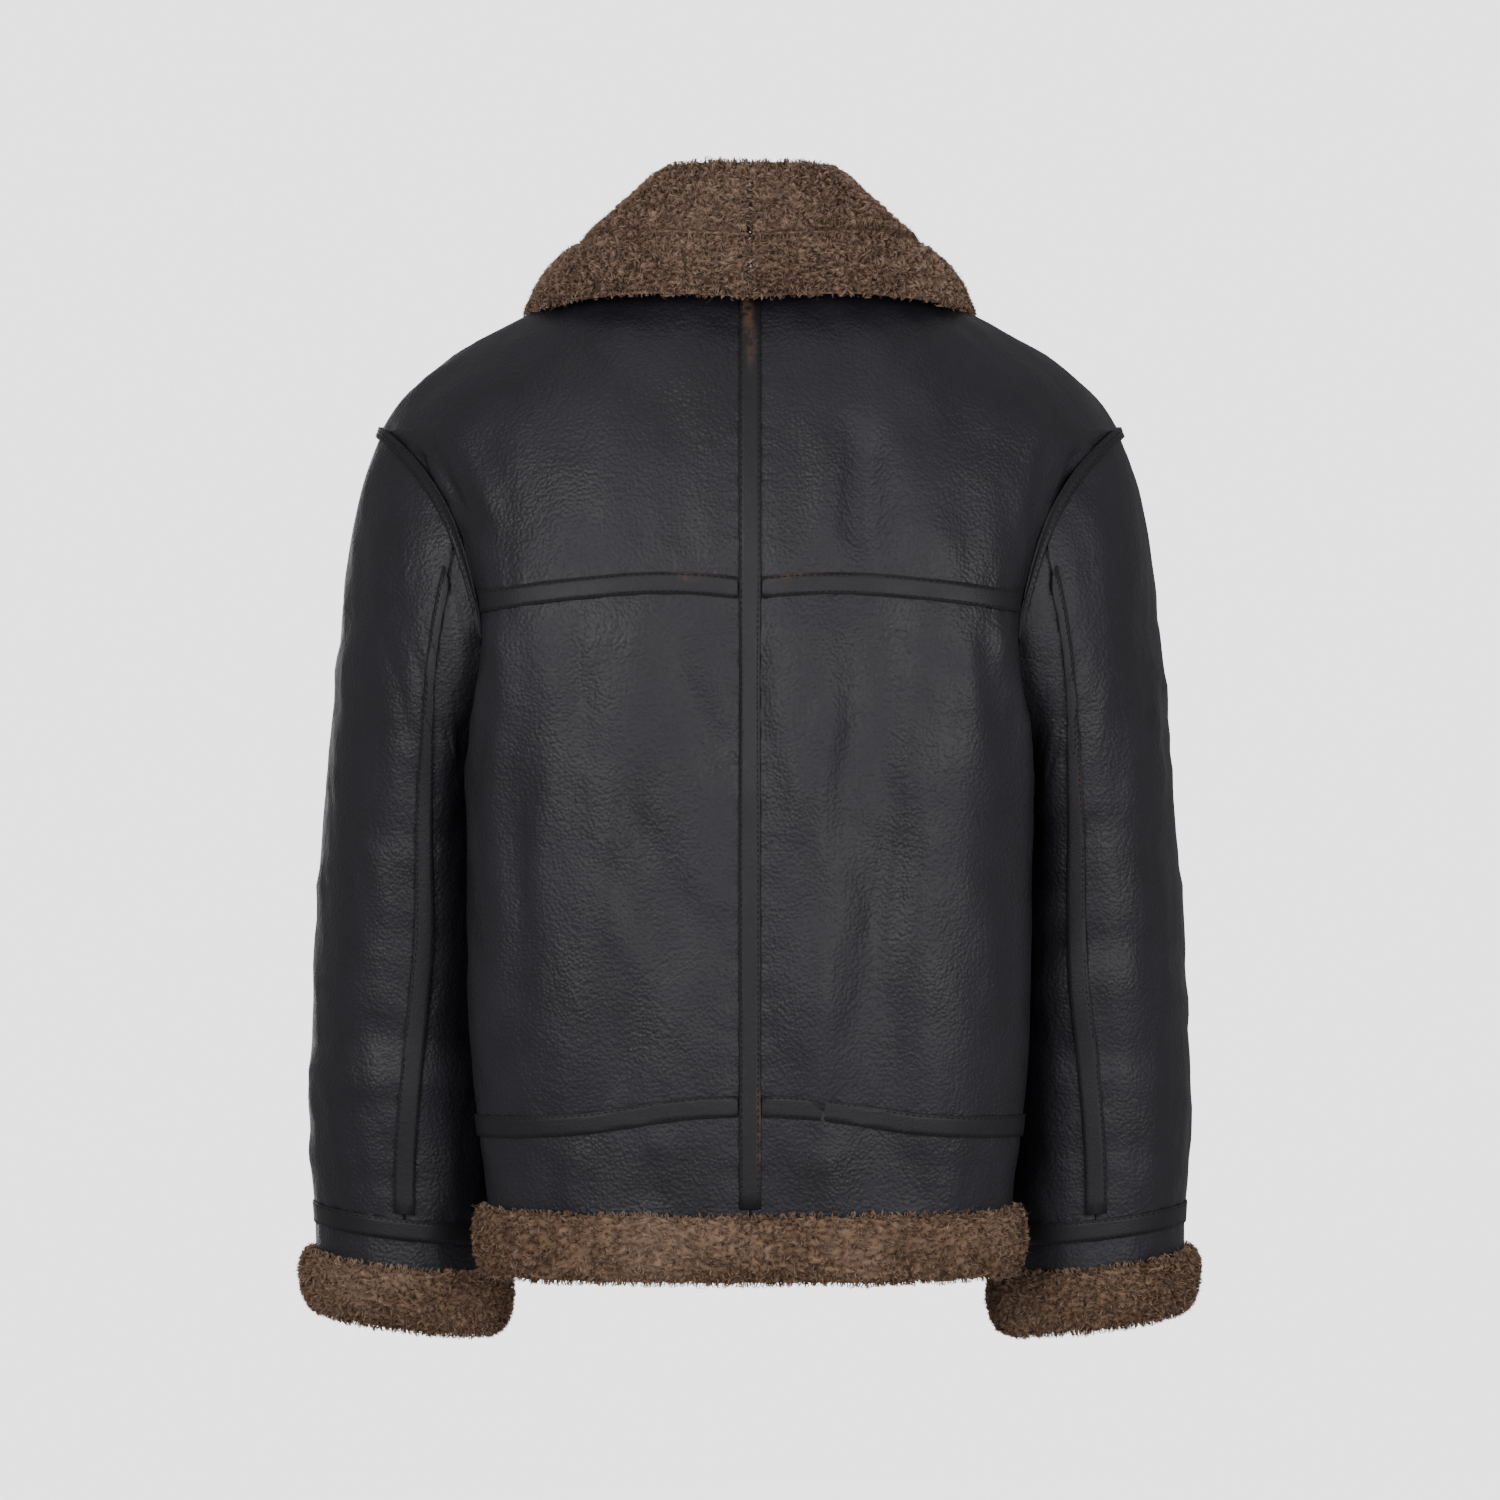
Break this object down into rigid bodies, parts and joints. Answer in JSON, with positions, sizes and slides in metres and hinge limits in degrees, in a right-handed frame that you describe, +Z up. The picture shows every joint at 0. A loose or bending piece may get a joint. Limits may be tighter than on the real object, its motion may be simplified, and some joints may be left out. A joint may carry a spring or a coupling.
{
  "type": "sheepskin jacket",
  "caption": "Black sheepskin flying jacket with brown wool collar, turned-back cuffs and hem band, zipped up and hollow, as worn.",
  "frame": {"origin": "where the jacket is held up: on the middle plane of the neck, at the level where its weight rests on the wearer's shoulders", "axes": "+Z up, -Y to the front with the zip, +X to the wearer's left"},
  "size_m": [0.6368, 0.315, 0.8151],
  "materials": {
    "leather": "pebbled black sheepskin, half shiny",
    "strip": "smooth black leather strips",
    "wool": "brown clipped wool on the skin",
    "zip_tape": "woven tape",
    "brass": "dull aged brass"
  },
  "bodies": {
    "jacket": {"adjuster_buckle_left": "brass", "adjuster_buckle_right": "brass", "adjuster_strap_left": "strip", "adjuster_strap_right": "strip", "back_lower_left": "leather", "back_lower_right": "leather", "back_middle_left": "leather", "back_middle_right": "leather", "back_upper_left": "leather", "back_upper_right": "leather", "collar_edge_left": "wool", "collar_edge_right": "wool", "collar_fall_left": "wool", "collar_fall_right": "wool", "collar_stand_left": "wool", "collar_stand_right": "wool", "cuff_panel_left": "leather", "cuff_panel_right": "leather", "cuff_roll_left": "wool", "cuff_roll_right": "wool", "front_left": "leather", "front_right": "leather", "hem_band_back": "wool", "hem_band_front_left": "wool", "hem_band_front_right": "wool", "sleeve_top_left": "leather", "sleeve_top_right": "leather", "sleeve_under_left": "leather", "sleeve_under_right": "leather", "strip_armhole_left": "strip", "strip_armhole_right": "strip", "strip_centre_back": "strip", "strip_cuff_left": "strip", "strip_cuff_right": "strip", "strip_side_left": "strip", "strip_side_right": "strip", "strip_sleeve_left": "strip", "strip_sleeve_right": "strip", "strip_waist_left": "strip", "strip_waist_right": "strip", "strip_yoke_left": "strip", "strip_yoke_right": "strip", "zip_slider": "brass", "zip_tape_left": "zip_tape", "zip_tape_right": "zip_tape", "zip_teeth_left": "brass", "zip_teeth_right": "brass"},
    "pull": {"zip_pull": "brass"}
  },
  "joints": [
    {"name": "pull_hinge", "type": "hinge", "parent": "jacket", "child": "pull", "pos_m": [0, -0.10089, -0.07916], "axis": [-1, 0, 0], "range_deg": [0, 80]}
  ]
}
